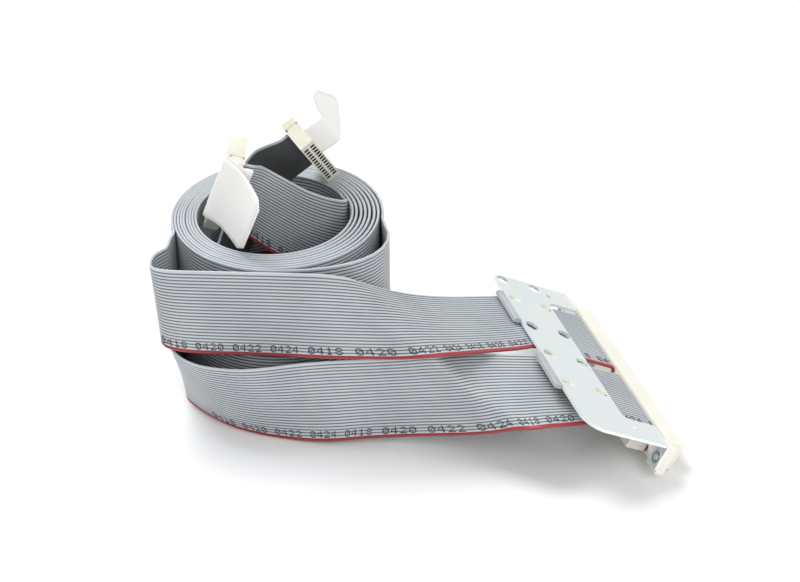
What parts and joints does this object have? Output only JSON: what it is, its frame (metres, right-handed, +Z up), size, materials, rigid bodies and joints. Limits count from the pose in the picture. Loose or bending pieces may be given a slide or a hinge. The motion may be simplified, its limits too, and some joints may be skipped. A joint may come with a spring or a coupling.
{
  "type": "ribbon cable",
  "caption": "Two flat ribbon cables wound together in a coil, their outer ends in a bracketed backplane connector and their inner ends in sockets with pull tabs.",
  "frame": {"origin": "the middle of the whole object seen from above, on the surface it lies on", "axes": "+X from the coil towards the bracket, along the longest extent; +Z up, along the coil's axis; +Y away from the picture's camera"},
  "size_m": [0.1772, 0.0984, 0.1053],
  "materials": {
    "ribbon": "grey PVC with moulded ridges",
    "zinc": "zinc-plated sheet",
    "cream": "moulded cream polyester",
    "contact": "gold-flashed spring metal",
    "eyelet": "tinned rivet",
    "foam": "cream foam pad",
    "black": "black moulded strip",
    "film": "white polyester film"
  },
  "bodies": {
    "root": {"ribbon_upper_coil": "ribbon", "ribbon_lower_coil": "ribbon", "ribbon_upper_lead": "ribbon", "ribbon_lower_lead": "ribbon", "ribbon_upper_tail": "ribbon", "ribbon_lower_tail": "ribbon", "bracket": "zinc", "backplane_housing": "cream", "backplane_pins": "contact", "backplane_cover_upper": "cream", "backplane_cover_lower": "cream", "eyelet_far": "eyelet", "eyelet_near": "eyelet", "pad_upper": "foam", "pad_lower": "foam", "clamp_upper": "black", "clamp_lower": "black", "pull_tab_left": "film", "pull_tab_right": "film", "socket_left_body": "cream", "socket_left_cover": "cream", "socket_left_contacts": "contact", "socket_right_body": "cream", "socket_right_cover": "cream", "socket_right_contacts": "contact"}
  },
  "joints": []
}
